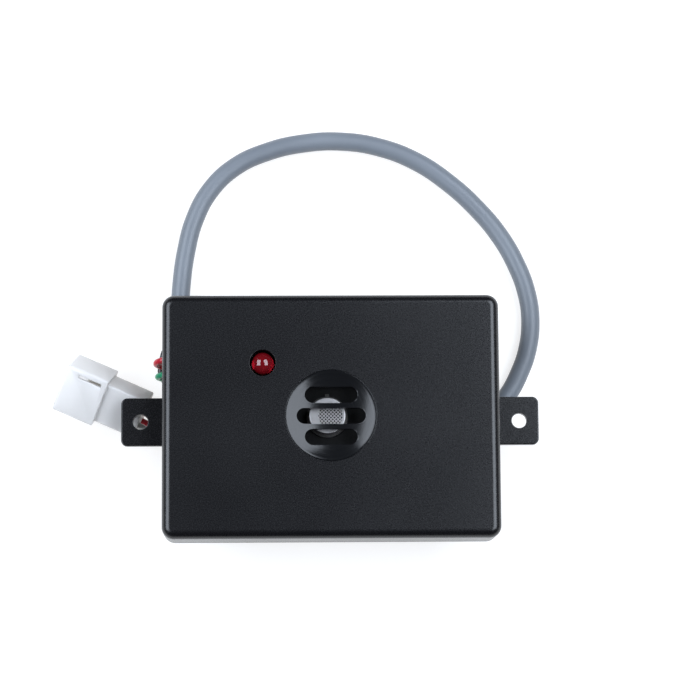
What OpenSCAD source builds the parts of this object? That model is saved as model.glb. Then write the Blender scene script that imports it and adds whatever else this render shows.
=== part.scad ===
// Wall-mounted gas sensor head: moulded black enclosure with a dished sensor
// guard, an indicator lamp, two mounting ears and a short pigtail lead.

/* [Enclosure] */
// Width of the enclosure, left to right
body_w = 75.2; // [74:0.1:84]
// Height of the enclosure's face
body_h = 54.5; // [54:0.1:62]
// Depth from the mounting surface to the face
body_depth = 27; // [26.6:0.1:28]
// Corner radius of the enclosure, seen from the front
corner_r = 2.7; // [2.2:0.1:3.6]
// Round along the edge of the face
edge_r = 2; // [1:0.1:2.1]
// Thickness of the moulded walls
wall = 2; // [1.8:0.1:2.2]
// Thickness of the face
face_t = 2.2; // [2:0.1:2.4]

/* [Rear housing] */
// Width of the narrower back part that stands on the mounting surface
plinth_w = 48; // [47:0.5:50]
// Height of the back part
plinth_h = 44; // [43:0.5:46]
// Height of the flange's underside above the mounting surface
flange_z = 13.6; // [13.4:0.1:14]
// Thickness of the flange and its ears
flange_t = 2; // [1.8:0.1:2.4]

/* [Mounting ears] */
// Distance between the two mounting holes
hole_pitch = 85.6; // [84:0.1:86]
// Diameter of the mounting holes
hole_d = 3.4; // [3:0.1:4]
// Width of each ear
ear_w = 10.9; // [9:0.1:12]
// Distance across the tips of the ears
ear_span = 94.4; // [93:0.1:97]

/* [Sensor guard] */
// Diameter of the guard's dished face
guard_d = 20.4; // [19:0.1:21]
// Depth of the dish at its middle
dish_depth = 1.6; // [1:0.1:1.8]
// Height of each slot
slot_h = 3.55; // [3:0.05:3.8]
// Length of the middle slot
slot_long = 15.4; // [12:0.1:16]
// Length of the two outer slots
slot_short = 11.8; // [9:0.1:12]
// Distance between neighbouring slots
slot_pitch = 4.68; // [4.4:0.02:5]

/* [Indicator lamp] */
// Diameter of the lamp's lens
lamp_d = 5; // [4.8:0.1:5.2]
// Diameter of the lamp's hole in the face
lamp_hole_d = 5.85; // [5.6:0.05:6.2]
// Height that the lens stands above the face
lamp_proud = 0.8; // [0:0.1:1.2]

/* [Lead] */
// Outer diameter of the lead's jacket
jacket_d = 4.3; // [4:0.1:4.4]
// Outer diameter of each insulated wire
wire_d = 1.4; // [1.2:0.1:1.5]

/* [Hidden] */
$fn = 48;

// Heights of the main planes
rim_z = flange_z + flange_t;
roof_z = body_depth - face_t;
board_t = 1.6;
board_top = rim_z;
board_bottom = board_top - board_t;
overlap = 0.5;

// Places in plan
screw_at = [[-32.5, -22], [32.5, -22], [32.5, 22], [-32.5, 22]];
post_at = [[-18.2, -16], [18.2, -16], [18.2, 16], [-18.2, 16]];
lamp_at = [-15.2, 11.8];
sensor_at = [-0.8, 0.3];
trimmer_at = [15, 8];
chip_at = [15.2, -3.2];
capacitor_at = [-15.6, -8.4];
regulator_at = [-16, 1];
header_at = [0, -9];
diode_at = [13.4, -12.6];
disc_at = [[-11, -14.6], [9, -15.6], [-18, 6.2]];
resistor_at = [[-5.2, 13.4], [5.8, 13.4], [-5.2, 16.6], [5.8, 16.6]];

// Lead
exit_z = 5.6;
relief_end_x = 27.5;
jacket_route = [
    [15.5, 0, 5.6], [21, 0, 5.6], [27.5, 0, 5.6], [31, 0.2, 5.2],
    [35, 1.6, 4.2], [38.6, 4.2, 3], [41.6, 7.8, 2.3], [44.2, 12.6, 2.2],
    [46.2, 18.2, 2.2], [47, 25, 2.2], [46.2, 31.6, 2.2], [43.8, 38.4, 2.2],
    [40, 45.2, 2.2], [34.8, 51.6, 2.2], [28.4, 57.6, 2.2], [20.8, 62.8, 2.2],
    [12.2, 66.2, 2.2], [3.4, 67.6, 2.2], [-5.4, 67.2, 2.2],
    [-14, 65.2, 2.2], [-21.6, 61.6, 2.2], [-27.4, 56, 2.2],
    [-31, 49.2, 2.2], [-33, 41.6, 2.2], [-34.1, 33.4, 2.2], [-34.4, 27.2, 2.2],
    [-34.4, 23, 2.2]];

// Connector, with its rear face where the wires go in and its axis to the mouth
plug_at = [-42.6, 2.6, 7.2];
plug_turn = 156;
plug_roll = -24;
plug_len = 19.4;
core_w = 9.4;
core_t = 8.6;
hood_w = 11.4;
hood_t = 10.6;
hood_from = 9.6;
web_to = 11.2;
circuit_pitch = 4.2;
wire_bore_depth = 3;
pin_r = 0.8;

red_route = [
    [-35.25, 23, 3.05], [-35.25, 22, 3.05], [-34.5, 19.6, 3.1], [-33.8, 17.8, 3.1],
    [-33.7, 16.4, 3.1], [-34.6, 14.8, 3.1], [-36.4, 14.1, 3.1],
    [-38.2, 14.2, 3.5], [-39.4, 14.4, 4.7], [-39.7, 14.6, 6.2],
    [-39.1, 14.9, 7.8], [-37.6, 15.1, 8.7], [-35.6, 15.1, 8.7],
    [-33.9, 14.3, 8.1], [-32.8, 12.6, 7.2], [-32.3, 10, 5.8],
    [-32.5, 7, 4.4], [-33.2, 4.6, 3.6], [-33.9, 2.3, 3.5], [-34.4, 0.4, 3.9],
    [-35.5, -0.6, 4.2], [-36.9, -0.9, 4.4], [-38.4, -0.5, 4.4], [-43.9, 2, 4.4]];
black_route = [
    [-35.25, 23, 1.35], [-35.25, 22.2, 1.35], [-35.6, 20.9, 1.1], [-36.9, 19.6, 1],
    [-38, 18.2, 0.9], [-38.5, 16.6, 0.8], [-38.8, 14.8, 0.8], [-38.9, 13.2, 0.8],
    [-38.1, 11.3, 0.8], [-36.6, 9.6, 0.9], [-34.6, 8.4, 1.2], [-32.2, 7.6, 1.6],
    [-30.2, 6.7, 2.8], [-29.1, 5.4, 4.6], [-28.9, 4, 6.6], [-29.6, 2.5, 8.4],
    [-31.2, 1.2, 9.6], [-33.2, 0.7, 9.9], [-35.2, 0.8, 9.9], [-37.6, 1.5, 9.9],
    [-39.8, 2.5, 9.9], [-43.1, 4, 9.9]];
green_route = [
    [-33.55, 23, 1.35], [-33.55, 21.6, 1.35], [-33, 19.6, 1.4], [-32.6, 17.6, 1.6],
    [-32.5, 15.5, 2], [-32.8, 13.6, 2.4], [-34, 12, 2.6], [-35.9, 11.4, 2.8],
    [-37.8, 11.4, 3.2], [-39, 11.5, 4.4], [-39.3, 11.6, 6],
    [-38.6, 11.7, 7.5], [-37, 11.8, 8.4], [-35, 11.4, 8.3], [-33.6, 10, 7.5],
    [-33, 8, 6.7], [-32.8, 6.2, 6.1], [-33, 4.8, 6], [-33.7, 3.5, 6],
    [-34.9, 2.75, 6], [-36.3, 2.7, 6.1], [-37.7, 3.4, 6.1], [-42.4, 5.5, 6.1]];
white_route = [
    [-33.55, 23, 3.05], [-33.55, 22, 3.05], [-32.2, 19, 3.6], [-31.1, 15.5, 4.6],
    [-30.6, 12, 5.8], [-30.6, 9, 7], [-31.4, 6.4, 7.8], [-33, 4.4, 8.1],
    [-34.4, 2.6, 8.2], [-34.9, 0.8, 8.2], [-35.4, -0.9, 8.2],
    [-36.5, -2, 8.2], [-38, -2.3, 8.2], [-39.6, -1.8, 8.2], [-44.6, 0.5, 8.2]];

// A rectangle with round corners, centred
module round_rect(w, h, r) {
    square([w - 2 * r, h], center = true);
    square([w, h - 2 * r], center = true);
    for (x = [-1, 1], y = [-1, 1])
        translate([x * (w / 2 - r), y * (h / 2 - r)]) circle(r);
}

// A flat block with round corners between two heights
module slab(w, h, r, from, to) {
    translate([0, 0, from]) linear_extrude(to - from) round_rect(w, h, r);
}

// A rod along Z between two heights
module rod(r, from, to) {
    translate([0, 0, from]) cylinder(r = r, h = to - from);
}

// A rod along X between two places
module rod_x(r, from, to) {
    translate([from, 0, 0]) rotate([0, 90, 0]) cylinder(r = r, h = to - from);
}

// A rod of small round section from one point to another
module strut(a, b, r) {
    d = b - a;
    length = norm(d);
    translate(a)
        rotate([0, acos(d[2] / length), atan2(d[1], d[0])])
            cylinder(r = r, h = length, $fn = 16);
}

module bar(size, at) {
    translate(at) cube(size, center = true);
}

// Sweep: unit vectors along a route, and a round ring at each of its points
function unit(v) = v / norm(v);
function heading(route, i) =
    unit(route[min(i + 1, len(route) - 1)] - route[max(i - 1, 0)]);
function side_of(t) = unit(cross(t, [0, 0, 1]));
function ring(route, i, r, sides) =
    let (t = heading(route, i), u = side_of(t), v = cross(u, t))
    [for (k = [0 : sides - 1])
        route[i] + r * (u * cos(360 * k / sides) + v * sin(360 * k / sides))];
module swept_tube(route, d, sides) {
    rings = len(route);
    points = [for (i = [0 : rings - 1]) each ring(route, i, d / 2, sides)];
    walls = [for (i = [0 : rings - 2], k = [0 : sides - 1])
        let (a = i * sides + k, b = i * sides + (k + 1) % sides)
        each [[a, b, b + sides], [a, b + sides, a + sides]]];
    ends = [[for (k = [sides - 1 : -1 : 0]) k],
            [for (k = [0 : sides - 1]) (rings - 1) * sides + k]];
    polyhedron(points, concat(walls, ends));
}

// Outside of the front shell: four posts with rounded tops, hulled together
module shell_outside() {
    hull()
        for (x = [-1, 1], y = [-1, 1])
            translate([x * (body_w / 2 - corner_r), y * (body_h / 2 - corner_r), 0]) {
                translate([0, 0, rim_z])
                    cylinder(r = corner_r, h = overlap, $fn = 32);
                translate([0, 0, body_depth - edge_r])
                    rotate_extrude($fn = 32)
                        translate([corner_r - edge_r, 0]) intersection() {
                            circle(edge_r, $fn = 32);
                            square(edge_r + overlap);
                        }
            }
}

// The space between the side walls, and the gasket's ring just outside it
module inner_slab(from, to) {
    slab(body_w - 2 * wall, body_h - 2 * wall, corner_r - wall + 0.6, from, to);
}

gasket_t = 1;
module gasket_ring(from, to) {
    difference() {
        slab(body_w - wall, body_h - wall, corner_r - wall / 2, from, to);
        inner_slab(from - 1, to + 1);
    }
}

module front_shell() {
    boss_r = 3.2;
    pilot_r = 1.3;
    seat_in_r = guard_d / 2 + 1.3;
    seat_out_r = seat_in_r + 1.7;
    color([0.07, 0.07, 0.08]) difference() {
        union() {
            difference() {
                shell_outside();
                inner_slab(rim_z - overlap, roof_z);
            }
            for (p = screw_at) translate(p) rod(boss_r, rim_z, roof_z + overlap);
            difference() {
                rod(seat_out_r, roof_z - 2, roof_z + overlap);
                rod(seat_in_r, roof_z - 3, roof_z + 1);
            }
        }
        gasket_ring(rim_z - overlap, rim_z + gasket_t);
        for (p = screw_at) translate(p) rod(pilot_r, rim_z - overlap, rim_z + 8);
        rod(guard_d / 2, roof_z - overlap, body_depth + 1);
        translate(lamp_at) rod(lamp_hole_d / 2, roof_z - 1, body_depth + 1);
    }
}

module slot(length) {
    reach = length / 2 - slot_h / 2;
    translate([0, 0, roof_z - 4]) linear_extrude(face_t + 6) {
        square([2 * reach, slot_h], center = true);
        for (x = [-reach, reach]) translate([x, 0]) circle(slot_h / 2);
    }
}

module sensor_guard() {
    gap = 0.05;
    dish_r = guard_d / 2 - 0.4;
    ball_r = (dish_r * dish_r + dish_depth * dish_depth) / (2 * dish_depth);
    color([0.1, 0.1, 0.11]) difference() {
        union() {
            rod(guard_d / 2 - gap, roof_z - 0.8, body_depth);
            rod(guard_d / 2 + 1.2, roof_z - 0.8, roof_z);
        }
        translate([0, 0, body_depth - dish_depth + ball_r]) sphere(ball_r, $fn = 96);
        slot(slot_long);
        for (y = [-1, 1]) translate([0, y * slot_pitch]) slot(slot_short);
    }
}

module rear_housing() {
    post_r = 2.6;
    pilot_r = 1;
    screw_hole_r = 1.5;
    floor_t = 2;
    grommet_neck_r = 3.1;
    color([0.06, 0.06, 0.07]) difference() {
        union() {
            slab(body_w, body_h, corner_r, flange_z, rim_z);
            slab(ear_span, ear_w, 1.4, flange_z, rim_z);
            slab(plinth_w, plinth_h, 3, 0, flange_z + overlap);
        }
        difference() {
            slab(plinth_w - 2 * wall, plinth_h - 2 * wall, 1.4, floor_t, rim_z + 1);
            for (p = post_at) translate(p) rod(post_r, floor_t - overlap, board_bottom);
        }
        for (p = post_at) translate(p) rod(pilot_r, board_bottom - 6, rim_z + 1);
        for (p = screw_at) translate(p) rod(screw_hole_r, flange_z - 1, rim_z + 1);
        for (x = [-1, 1])
            translate([x * hole_pitch / 2, 0]) rod(hole_d / 2, flange_z - 1, rim_z + 1);
        translate([0, 0, exit_z])
            rod_x(grommet_neck_r, plinth_w / 2 - wall - 1, plinth_w / 2 + 1);
    }
}

module housing_gasket() {
    color([0.2, 0.2, 0.2]) gasket_ring(rim_z, rim_z + gasket_t);
}

// A pan-head screw under its seat, head downwards, with a cross recess
module screw_below(seat_z, head_r, head_h, shank_r, reach) {
    difference() {
        rod(head_r, seat_z - head_h, seat_z);
        for (a = [0, 90]) rotate(a)
            bar([head_r * 1.2, 0.7, 1.4], [0, 0, seat_z - head_h]);
    }
    rod(shank_r, seat_z - head_h / 4, seat_z + reach);
}

module cover_screws() {
    color([0.7, 0.7, 0.72])
        for (p = screw_at) translate(p) screw_below(flange_z, 2.5, 1.8, 1.25, 9);
}

module circuit_board() {
    color([0.05, 0.3, 0.15]) difference() {
        slab(42, 38, 1, board_bottom, board_top);
        for (p = post_at) translate(p) rod(1.2, board_bottom - 1, board_top + 1);
        translate(sensor_at) for (x = [-1, 1], y = [-1, 1])
            translate([x * pin_at, y * pin_at]) rod(0.45, board_bottom - 1, board_top + 1);
        translate(lamp_at) for (x = [-1, 1])
            translate([x * lamp_leg_at, 0]) rod(0.45, board_bottom - 1, board_top + 1);
    }
}

module board_screws() {
    head_h = 1.3;
    color([0.75, 0.75, 0.76])
        for (p = post_at) translate(p) {
            difference() {
                rod(2.1, board_top, board_top + head_h);
                for (a = [0, 90]) rotate(a)
                    bar([2.6, 0.6, 1.2], [0, 0, board_top + head_h]);
            }
            rod(0.95, board_bottom - 5, board_top + 0.3);
        }
}

// Gas sensor in a metal can, standing on a foam pad
pad_top = board_top + 4.6;
base_top = pad_top + 0.9;
can_top = roof_z - 1;
can_r = 4.05;
mesh_r = 2.7;
window_x = 0.7;
pin_top = base_top + 0.7;
pin_at = 1.8;
lamp_leg_at = 1.27;

module sensor_pad() {
    color([0.05, 0.05, 0.05]) difference() {
        translate(sensor_at) rod(10.8, board_top, pad_top);
        translate(sensor_at) for (x = [-1, 1], y = [-1, 1])
            translate([x * pin_at, y * pin_at]) rod(0.45, board_top - 1, pad_top + 1);
    }
}

module sensor_base() {
    color([0.75, 0.74, 0.7]) translate(sensor_at) difference() {
        union() {
            rod(4.6, pad_top, base_top);
            bar([0.9, 1.2, 0.5], [0, 4.6, base_top - 0.25]);
        }
        for (x = [-1, 1], y = [-1, 1])
            translate([x * pin_at, y * pin_at]) rod(0.3, pad_top - 1, base_top + 1);
    }
}

module sensor_can() {
    skin = 0.3;
    soft = 0.5;
    color([0.8, 0.8, 0.8]) translate(sensor_at) difference() {
        can_shape(skin, soft);
        translate([window_x, 0]) rod(mesh_r, base_top + 1, can_top + 1);
    }
}

// The can before its window is cut: skin thick, soft the round at its top edge
module can_shape(skin, soft) {
    rotate_extrude() difference() {
        union() {
            translate([0, base_top]) square([can_r, can_top - soft - base_top]);
            translate([0, can_top - soft]) square([can_r - soft, soft]);
            translate([can_r - soft, can_top - soft]) circle(soft);
        }
        translate([-1, base_top - 1])
            square([can_r - skin + 1, can_top - skin - base_top + 1]);
        translate([-2, 0]) square([2, can_top + 1]);
    }
}

module sensor_mesh() {
    color([0.65, 0.65, 0.66]) translate(sensor_at)
        rod(can_r - 0.35, can_top - 0.6, can_top - 0.3);
}

module sensor_pins() {
    color([0.8, 0.78, 0.7]) translate(sensor_at)
        for (x = [-1, 1], y = [-1, 1])
            translate([x * pin_at, y * pin_at]) rod(0.25, board_bottom - 1.2, pin_top);
}

module sensing_element() {
    bead_z = pin_top + 0.7;
    color([0.85, 0.8, 0.7]) translate(sensor_at) {
        translate([0, 0, bead_z]) rod_x(0.55, -1.3, 1.3);
        for (x = [-1, 1], y = [-1, 1])
            strut([x * pin_at, y * pin_at, pin_top], [x * 0.8, y * 0.2, bead_z], 0.12);
    }
}

// Indicator lamp on its spacer
lamp_top = body_depth + lamp_proud;
lamp_foot = lamp_top - 8.6;

module lamp_lens() {
    r = lamp_d / 2;
    color([0.6, 0.05, 0.08]) translate(lamp_at) {
        rod(r, lamp_foot, lamp_top - r);
        rod(r + 0.4, lamp_foot, lamp_foot + 1);
        translate([0, 0, lamp_top - r]) rotate_extrude() intersection() {
            circle(r);
            square(r);
        }
    }
}

module lamp_leadframe() {
    cup_z = lamp_foot + 4;
    color([0.8, 0.8, 0.8]) translate(lamp_at) {
        for (x = [-lamp_leg_at, lamp_leg_at])
            bar([0.5, 0.5, cup_z - board_bottom + 1],
                [x, 0, (cup_z + board_bottom - 1) / 2]);
        bar([1.7, 1.3, 1.6], [0.85, 0, cup_z - 0.4]);
        bar([0.9, 1.2, 1.6], [-1.15, 0, cup_z - 0.4]);
    }
}

module lamp_spacer() {
    color([0.1, 0.1, 0.1]) translate(lamp_at) difference() {
        rod(2.7, board_top, lamp_foot);
        for (x = [-1, 1])
            translate([x * lamp_leg_at, 0]) rod(0.45, board_top - 1, lamp_foot + 1);
    }
}

// Parts soldered to the board
chip_w = 6.4;
chip_len = 9.6;
chip_z = board_top + 0.5;
chip_h = 3.3;

module comparator_chip() {
    color([0.12, 0.12, 0.12]) translate(chip_at) difference() {
        bar([chip_w, chip_len, chip_h], [0, 0, chip_z + chip_h / 2]);
        translate([0, chip_len / 2]) rod(0.8, chip_z + chip_h - 0.5, chip_z + chip_h + 1);
    }
}

module chip_legs() {
    leg_h = chip_z + chip_h / 2 - board_top;
    color([0.8, 0.8, 0.8]) translate(chip_at)
        for (x = [-1, 1], i = [-1.5 : 1.5])
            translate([x * (chip_w / 2 + 0.3), i * 2.54, board_top]) {
                bar([0.6, 1.3, 0.3], [0, 0, leg_h - 0.15]);
                bar([0.25, 0.6, leg_h], [x * 0.3, 0, leg_h / 2]);
            }
}

module voltage_regulator() {
    color([0.1, 0.1, 0.1]) translate(regulator_at) difference() {
        rod(2.4, board_top + 2, board_top + 7);
        bar([3, 6, 8], [3, 0, board_top + 4]);
    }
}

module electrolytic_capacitor() {
    r = 3.15;
    height = 7;
    color([0.1, 0.12, 0.25]) translate([capacitor_at[0], capacitor_at[1], board_top])
        rotate_extrude() difference() {
            square([r, height]);
            translate([r + 0.3, 1.2]) circle(0.6);
            translate([0, height - 0.25]) square([r - 0.7, 1]);
        }
}

module ceramic_capacitors() {
    r = 2.2;
    color([0.75, 0.5, 0.2])
        for (p = disc_at) translate([p[0], p[1], board_top + r + 0.8])
            rotate([90, 0, 0]) rotate_extrude() {
                translate([0, -0.8]) square([r - 0.8, 1.6]);
                intersection() {
                    translate([r - 0.8, 0]) circle(0.8);
                    translate([r - 0.8, -1]) square(2);
                }
            }
}

module resistors() {
    color([0.75, 0.65, 0.5])
        for (p = resistor_at) translate([p[0], p[1], board_top + 1.3]) {
            rod_x(0.95, -3, 3);
            rod_x(1.15, -3.1, -1.9);
            rod_x(1.15, 1.9, 3.1);
        }
}

module diode() {
    color([0.7, 0.3, 0.15]) translate([diode_at[0], diode_at[1], board_top + 1.1])
        rod_x(0.9, -1.9, 1.9);
}

// A bent wire leg: level out of a body, then down through the board
module bent_leg(at, inner_x, outer_x, z) {
    translate(at) {
        translate([0, 0, z]) rod_x(0.28, min(inner_x, outer_x), max(inner_x, outer_x));
        translate([outer_x, 0]) rod(0.28, board_top, z + 0.28);
    }
}

module component_leads() {
    color([0.8, 0.8, 0.8]) {
        for (p = resistor_at, x = [-1, 1]) bent_leg(p, x * 3.1, x * 4.4, board_top + 1.3);
        for (x = [-1, 1]) bent_leg(diode_at, x * 1.9, x * 3.2, board_top + 1.1);
        for (y = [-1.27, 0, 1.27])
            translate([regulator_at[0], regulator_at[1] + y])
                rod(0.25, board_top, board_top + 2);
        for (p = disc_at, x = [-1.1, 1.1])
            translate([p[0] + x, p[1]]) rod(0.25, board_top, board_top + 1.05);
    }
}

// Calibration trimmer: a square body and the slotted rotor that turns in it
trimmer_side = 6.8;
trimmer_h = 4.6;
rotor_r = 2.3;
rotor_gap = 0.05;
rotor_depth = 1.6;
rotor_proud = 0.5;

module trimmer_body() {
    color([0.15, 0.3, 0.65]) translate(trimmer_at) difference() {
        slab(trimmer_side, trimmer_side, 0.4, board_top, board_top + trimmer_h);
        rod(rotor_r + rotor_gap, board_top + trimmer_h - rotor_depth,
            board_top + trimmer_h + 1);
    }
}

module trimmer_rotor() {
    top_z = board_top + trimmer_h + rotor_proud;
    color([0.9, 0.9, 0.85]) translate(trimmer_at) difference() {
        rod(rotor_r, board_top + trimmer_h - rotor_depth + rotor_gap, top_z);
        bar([3.4, 0.8, 1.6], [0, 0, top_z]);
        bar([1.2, 0.5, 0.6], [rotor_r - 0.6, 0, top_z]);
    }
}

// Four-way plug and header under the board
header_w = 12.4;
header_t = 5.8;
header_z = board_bottom - 6.2;
way_pitch = 2.5;
plug_bottom = header_z - 2.6;

module board_header() {
    color([0.92, 0.9, 0.84]) translate(header_at) difference() {
        slab(header_w, header_t, 0.3, header_z, board_bottom);
        slab(header_w - 1.8, header_t - 1.8, 0.2, header_z - 1, board_bottom - 1.2);
        for (i = [-1.5 : 1.5]) translate([i * way_pitch, 0])
            rod(0.4, header_z, board_bottom + 1);
    }
}

module header_pins() {
    color([0.85, 0.8, 0.6]) translate(header_at)
        for (i = [-1.5 : 1.5])
            bar([0.5, 0.5, board_top - header_z - 2.4],
                [i * way_pitch, 0, (board_bottom + header_z + 0.8) / 2]);
}

module header_plug() {
    color([0.92, 0.9, 0.84]) translate(header_at) difference() {
        slab(header_w - 2, header_t - 2, 0.2, plug_bottom, board_bottom - 1.6);
        for (i = [-1.5 : 1.5]) translate([i * way_pitch, 0])
            rod(0.75, plug_bottom - 1, board_bottom);
    }
}

module inner_wires() {
    ways = [[0.7, 0.7], [0.7, -0.7], [-0.7, -0.7], [-0.7, 0.7]];
    low_z = 3.4;
    for (i = [0 : 3])
        let (x = header_at[0] + (i - 1.5) * way_pitch, y = header_at[1],
             lane = ways[i], start = [15.5, lane[0], exit_z + lane[1]],
             turn = [13 - 1.6 * i, lane[0] - 1.4 * i, exit_z + lane[1]])
        color([[0.1, 0.1, 0.1], [0.7, 0.1, 0.1], [0.1, 0.5, 0.2], [0.9, 0.9, 0.9]][i]) {
            swept_tube([start, start - [0.8, 0, 0], turn, [x + 1.6, y + 2.6 - 0.2 * i, low_z],
                        [x + 0.1, y + 0.5, low_z + 0.1], [x, y, plug_bottom + 0.6]],
                       1.1, 8);
        }
}

// Strain relief and tie that hold the lead
module cable_grommet() {
    bore_r = jacket_d / 2 + 0.05;
    neck_r = 3.1;
    inner_flange_r = 3.5;
    outer_flange_r = 4.2;
    nose_r = 3;
    flange_w = 1.2;
    outer_x = plinth_w / 2;
    inner_x = outer_x - wall;
    color([0.08, 0.08, 0.08]) translate([0, 0, exit_z]) difference() {
        union() {
            rod_x(inner_flange_r, inner_x - flange_w, inner_x);
            rod_x(neck_r, inner_x - overlap, outer_x + overlap);
            rod_x(outer_flange_r, outer_x, outer_x + flange_w);
            rod_x(nose_r, outer_x + overlap, relief_end_x);
        }
        rod_x(bore_r, inner_x - 3, relief_end_x + 1);
    }
}

module cable_tie() {
    bore_r = jacket_d / 2 + 0.02;
    color([0.15, 0.15, 0.15]) translate([18.4, 0, exit_z]) difference() {
        union() {
            rod_x(bore_r + 1, -1.25, 1.25);
            bar([4, 3.4, 3], [0, 0, 3.4]);
        }
        rod_x(bore_r, -3, 3);
        bar([2.6, 1.2, 8], [0, 0, 5]);
    }
}

module cable_jacket() {
    color([0.52, 0.57, 0.62]) swept_tube(jacket_route, jacket_d, 10);
}

module wire_red() {
    color([0.7, 0.05, 0.1]) swept_tube(red_route, wire_d, 8);
}

module wire_black() {
    color([0.08, 0.08, 0.09]) swept_tube(black_route, wire_d, 8);
}

module wire_green() {
    color([0.05, 0.45, 0.25]) swept_tube(green_route, wire_d, 8);
}

module wire_white() {
    color([0.9, 0.9, 0.88]) swept_tube(white_route, wire_d, 8);
}

// The connector's own frame: X from the rear face to the mouth
module in_connector() {
    translate(plug_at) rotate([0, 0, plug_turn]) rotate([plug_roll, 0, 0]) children();
}

module at_circuits() {
    for (y = [-1, 1], z = [-1, 1])
        translate([0, y * circuit_pitch / 2, z * circuit_pitch / 2]) children();
}

module connector_housing() {
    skin = 1;
    wire_bore_r = 1.1;
    ramp_x = 15.4;
    latch_x = 13.6;
    latch_y = -4;
    latch_w = 0.8;
    color([0.93, 0.94, 0.95]) in_connector() difference() {
        union() {
            bar([hood_from + overlap, core_w, core_t], [(hood_from + overlap) / 2, 0, 0]);
            bar([plug_len - hood_from, hood_w, hood_t], [(plug_len + hood_from) / 2, 0, 0]);
            bar([2.6, latch_w, 3], [ramp_x, -hood_w / 2 - 0.3, 0]);
        }
        bar([plug_len, hood_w - 2 * skin, hood_t - 2 * skin],
            [web_to + plug_len / 2, 0, 0]);
        at_circuits() rod_x(wire_bore_r, -1, wire_bore_depth);
        at_circuits() rod_x(pin_r + 0.03, wire_bore_depth - 1, web_to + 1);
        bar([5.6, latch_w, 3], [latch_x, latch_y, hood_t / 2]);
    }
}

module connector_pins() {
    color([0.8, 0.78, 0.72]) in_connector() at_circuits()
        rod_x(pin_r, wire_bore_depth + 0.2, 15);
}

front_shell();
sensor_guard();
rear_housing();
housing_gasket();
cover_screws();
circuit_board();
board_screws();
sensor_pad();
sensor_base();
sensor_can();
sensor_mesh();
sensor_pins();
sensing_element();
lamp_lens();
lamp_leadframe();
lamp_spacer();
comparator_chip();
chip_legs();
voltage_regulator();
electrolytic_capacitor();
ceramic_capacitors();
resistors();
diode();
component_leads();
trimmer_body();
trimmer_rotor();
board_header();
header_pins();
header_plug();
inner_wires();
cable_grommet();
cable_tie();
cable_jacket();
wire_red();
wire_black();
wire_green();
wire_white();
connector_housing();
connector_pins();
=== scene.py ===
import math
import bmesh
import bpy
from mathutils import Matrix, Vector


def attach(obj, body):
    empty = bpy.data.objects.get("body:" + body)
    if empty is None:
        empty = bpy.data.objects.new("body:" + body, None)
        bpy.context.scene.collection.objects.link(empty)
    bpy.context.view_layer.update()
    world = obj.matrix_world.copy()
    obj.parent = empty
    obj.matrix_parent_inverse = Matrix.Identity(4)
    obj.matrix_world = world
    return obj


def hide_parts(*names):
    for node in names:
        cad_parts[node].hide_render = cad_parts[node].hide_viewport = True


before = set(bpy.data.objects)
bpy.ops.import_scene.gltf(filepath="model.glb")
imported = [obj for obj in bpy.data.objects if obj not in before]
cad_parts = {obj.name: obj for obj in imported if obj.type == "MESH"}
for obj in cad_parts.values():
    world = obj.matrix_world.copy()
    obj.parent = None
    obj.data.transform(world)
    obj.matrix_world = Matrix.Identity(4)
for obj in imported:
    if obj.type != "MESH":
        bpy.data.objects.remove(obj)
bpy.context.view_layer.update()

mm = 0.001        # sizes below are in mm and angles in degrees, unless a note says otherwise


# Camera

cameraView = {
    "aim": (4.25, 14.6, 27),        # mm, the point at the middle of the view
    "distance": 600,                # mm
    "tilt": 8.28,                   # degrees towards -Y from straight above
    "swing": -1.63,                 # degrees towards -X
    "roll": -0.43,
    "lens": 138.6,
}


def makeCamera():
    tilt = math.radians(cameraView["tilt"])
    swing = math.radians(cameraView["swing"])
    roll = math.radians(cameraView["roll"])
    back = Vector((math.sin(swing), -math.sin(tilt) * math.cos(swing),
                   math.cos(tilt) * math.cos(swing))).normalized()
    right = Vector((0, 1, 0)).cross(back).normalized()
    up = back.cross(right)
    rightTurned = math.cos(roll) * right + math.sin(roll) * up
    upTurned = -math.sin(roll) * right + math.cos(roll) * up
    place = Vector(cameraView["aim"]) * mm + back * cameraView["distance"] * mm
    data = bpy.data.cameras.new("camera")
    data.lens = cameraView["lens"]
    data.clip_start = 0.01
    camera = bpy.data.objects.new("camera", data)
    bpy.context.scene.collection.objects.link(camera)
    turn = Matrix((rightTurned, upTurned, back)).transposed()
    camera.matrix_world = Matrix.Translation(place) @ turn.to_4x4()
    bpy.context.scene.camera = camera


makeCamera()
print("camera placed")


# Helpers for materials

def newMaterial(name, **sockets):
    material = bpy.data.materials.new(name)
    material.use_nodes = True
    shader = material.node_tree.nodes["Principled BSDF"]
    for key, value in sockets.items():
        shader.inputs[key.replace("_", " ")].default_value = value
    return material, material.node_tree, shader


def addNode(tree, kind, **settings):
    node = tree.nodes.new("ShaderNode" + kind)
    for key, value in settings.items():
        setattr(node, key, value)
    return node


def objectSpace(tree):
    return addNode(tree, "TexCoord").outputs["Object"]


def grain(tree, where, size, detail=2, rough=0.5):
    # noise whose grains are about this many mm across
    noise = addNode(tree, "TexNoise")
    noise.inputs["Scale"].default_value = 1 / (size * mm)
    noise.inputs["Detail"].default_value = detail
    noise.inputs["Roughness"].default_value = rough
    tree.links.new(where, noise.inputs["Vector"])
    return noise.outputs["Fac"]


def dull(tree, shader, value, low, high, fromLow=0.3, fromHigh=0.7):
    # roughness between low and high
    ramp = addNode(tree, "MapRange")
    ramp.inputs["From Min"].default_value = fromLow
    ramp.inputs["From Max"].default_value = fromHigh
    ramp.inputs["To Min"].default_value = low
    ramp.inputs["To Max"].default_value = high
    tree.links.new(value, ramp.inputs["Value"])
    tree.links.new(ramp.outputs["Result"], shader.inputs["Roughness"])


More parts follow.
